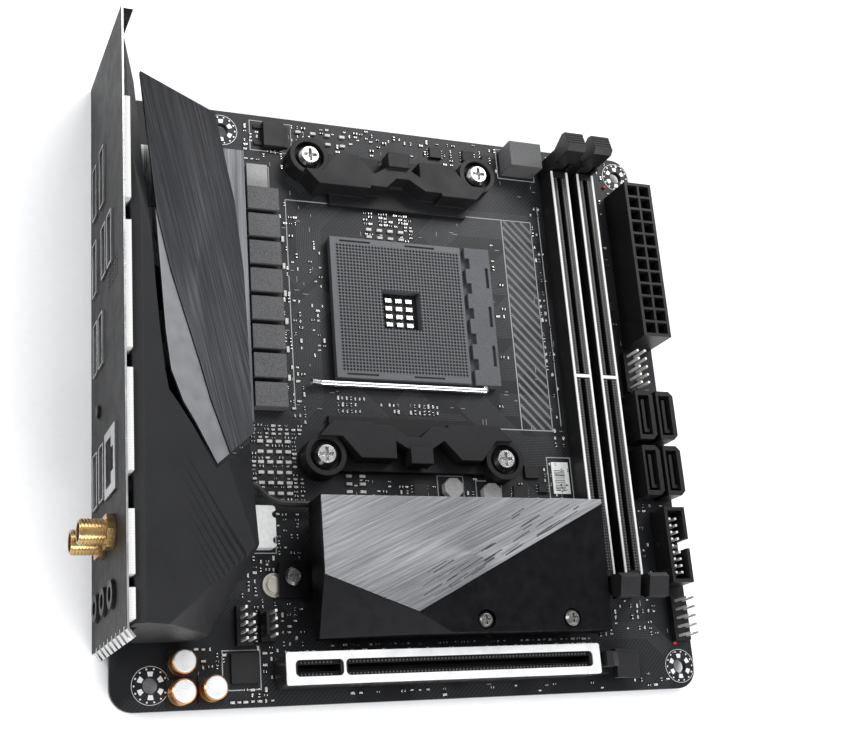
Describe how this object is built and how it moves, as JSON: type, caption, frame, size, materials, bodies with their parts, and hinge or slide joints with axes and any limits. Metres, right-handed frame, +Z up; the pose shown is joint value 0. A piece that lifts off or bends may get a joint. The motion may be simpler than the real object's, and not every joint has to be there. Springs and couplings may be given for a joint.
{
  "type": "motherboard",
  "caption": "Small square computer motherboard in black with dark metal heatsinks, a pin-grid processor socket, two memory slots, one expansion slot and a rear port shield.",
  "frame": {"origin": "axis of the case screw hole in the rear audio corner, at the underside of the board", "axes": "+X along the slot edge away from the rear ports, +Y along the rear edge towards the processor end, +Z up out of the component side"},
  "size_m": [0.182, 0.1736, 0.0448],
  "materials": {
    "solder_mask": "black solder mask, satin",
    "solder": "bright tin solder",
    "insulator": "thin black insulating film",
    "black_steel": "black painted steel",
    "black_plastic": "fine moulded texture",
    "charcoal_plastic": "charcoal, satin moulded",
    "socket_plastic": "dark grey moulding with pin holes",
    "bright_steel": "plated sheet steel",
    "screw_steel": "nickel plated screws",
    "dark_aluminium": "anodised dark, brushed",
    "accent_aluminium": "anodised, bead blasted",
    "grey_aluminium": "anodised grey fins",
    "thermal_pad": "soft grey pad",
    "chip_resin": "moulded chip resin",
    "ferrite": "dark grey pressed ferrite",
    "capacitor_gold": "gold sleeve with bright top",
    "gasket_white": "conductive cloth over foam",
    "gold_plate": "gold plated",
    "pale_plastic": "pale grey moulding",
    "armour_steel": "bright formed sheet",
    "battery_sleeve": "white shrink sleeve",
    "lead_rubber": "black lead",
    "ceramic": "fired ceramic with tinned ends"
  },
  "bodies": {
    "board": {"pcb": "solder_mask", "solder_joints": "solder", "backplate_insulator": "insulator", "cooler_backplate": "black_steel", "socket_base": "socket_plastic", "socket_capacitors": "ceramic", "cooler_bracket_upper": "black_plastic", "cooler_bracket_lower": "black_plastic", "bracket_screws": "screw_steel", "vrm_heatsink": "grey_aluminium", "heatsink_plate": "dark_aluminium", "accent_plate": "accent_aluminium", "vrm_thermal_pad": "thermal_pad", "vrm_mosfets": "chip_resin", "vrm_chokes": "ferrite", "filter_inductors": "ferrite", "input_choke": "ferrite", "input_mosfet": "chip_resin", "audio_capacitors": "capacitor_gold", "io_cover": "charcoal_plastic", "io_shield": "black_steel", "emi_gasket": "gasket_white", "display_port_stack": "bright_steel", "usb_display_stack": "bright_steel", "usb_stack": "bright_steel", "lan_usb_stack": "bright_steel", "antenna_connectors": "gold_plate", "wifi_module": "bright_steel", "audio_jack_stack": "black_plastic", "flash_switch": "black_plastic", "memory_slots": "black_plastic", "memory_slot_rails": "pale_plastic", "power_connector": "black_plastic", "sata_ports": "black_plastic", "usb3_header": "black_plastic", "usb2_header": "black_plastic", "panel_header": "black_plastic", "audio_header": "black_plastic", "fan_header": "black_plastic", "connector_pins": "gold_plate", "expansion_slot": "black_plastic", "expansion_slot_armour": "armour_steel", "m2_cover": "dark_aluminium", "m2_plate": "dark_aluminium", "m2_screws": "screw_steel", "m2_socket": "black_plastic", "m2_standoff": "gold_plate", "control_chips": "chip_resin", "chipset_heatsink": "grey_aluminium", "battery": "battery_sleeve", "battery_lead": "lead_rubber", "ceramic_capacitors": "ceramic"},
    "socket_lever": {"socket_lever": "bright_steel"},
    "socket_cover": {"socket_cover": "socket_plastic"},
    "memory_latch_1": {"memory_latch_1": "black_plastic"},
    "memory_latch_2": {"memory_latch_2": "black_plastic"},
    "memory_latch_3": {"memory_latch_3": "black_plastic"},
    "memory_latch_4": {"memory_latch_4": "black_plastic"},
    "expansion_latch": {"expansion_slot_latch": "black_plastic"},
    "flash_button": {"flash_button": "black_plastic"}
  },
  "joints": [
    {"name": "socket_lever_hinge", "type": "hinge", "parent": "board", "child": "socket_lever", "pos_m": [0.09944, 0.081, 0.0035], "axis": [0, 1, 0], "range_deg": [0, 95]},
    {"name": "socket_cover_slide", "type": "slide", "parent": "board", "child": "socket_cover", "axis": [1, 0, 0], "range_m": [0, 0.001]},
    {"name": "memory_latch_1_hinge", "type": "hinge", "parent": "board", "child": "memory_latch_1", "pos_m": [0.12914, 0.15575, 0.0052], "axis": [-1, 0, 0], "range_deg": [0, 25]},
    {"name": "memory_latch_2_hinge", "type": "hinge", "parent": "board", "child": "memory_latch_2", "pos_m": [0.13834, 0.15575, 0.0052], "axis": [-1, 0, 0], "range_deg": [0, 25]},
    {"name": "memory_latch_3_hinge", "type": "hinge", "parent": "board", "child": "memory_latch_3", "pos_m": [0.12914, 0.02195, 0.0052], "axis": [1, 0, 0], "range_deg": [0, 25]},
    {"name": "memory_latch_4_hinge", "type": "hinge", "parent": "board", "child": "memory_latch_4", "pos_m": [0.13834, 0.02195, 0.0052], "axis": [1, 0, 0], "range_deg": [0, 25]},
    {"name": "expansion_latch_hinge", "type": "hinge", "parent": "board", "child": "expansion_latch", "pos_m": [0.12594, 0.00175, 0.0042], "axis": [0, 1, 0], "range_deg": [0, 8]},
    {"name": "flash_button_slide", "type": "slide", "parent": "board", "child": "flash_button", "axis": [1, 0, 0], "range_m": [0, 0.0008], "stiffness_N_per_m": 180, "springref_m": -0.0006}
  ],
  "couplings": [
    {"joint": "socket_lever_hinge", "follows": "socket_cover_slide", "rad_per_m": 1658}
  ]
}
